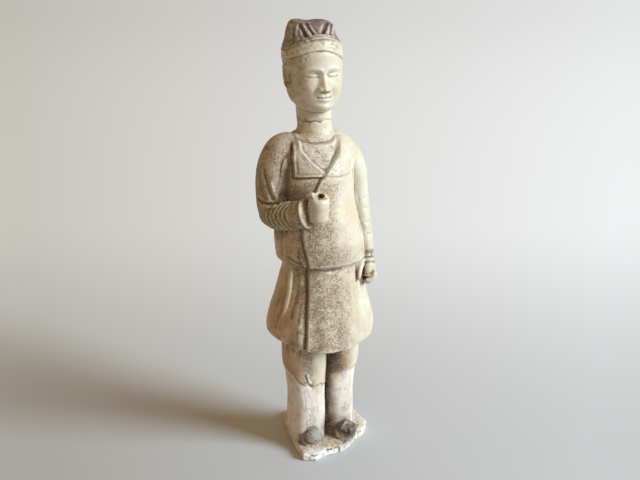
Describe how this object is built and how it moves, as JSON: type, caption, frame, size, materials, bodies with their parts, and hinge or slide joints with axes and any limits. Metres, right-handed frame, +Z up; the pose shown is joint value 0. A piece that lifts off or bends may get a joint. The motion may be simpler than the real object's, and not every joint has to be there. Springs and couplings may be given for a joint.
{
  "type": "pottery tomb figure",
  "caption": "Press-moulded earthenware attendant in a belted robe and soft two-lobed cap, one fist raised to hold a staff, standing on a slab plinth.",
  "frame": {"origin": "on the flat underside of the plinth, below the middle of the whole object's bounding box", "axes": "+Z up through the cap; the figure faces -Y, its raised right hand is at -X and its hanging left hand at +X"},
  "size_m": [0.0758, 0.0728, 0.2778],
  "materials": {
    "straw_glazed_earthenware": "thin straw-coloured glaze, worn and earth-stained, bare white slip below the knees"
  },
  "bodies": {
    "root": {"tomb_figure": "straw_glazed_earthenware"}
  },
  "joints": []
}
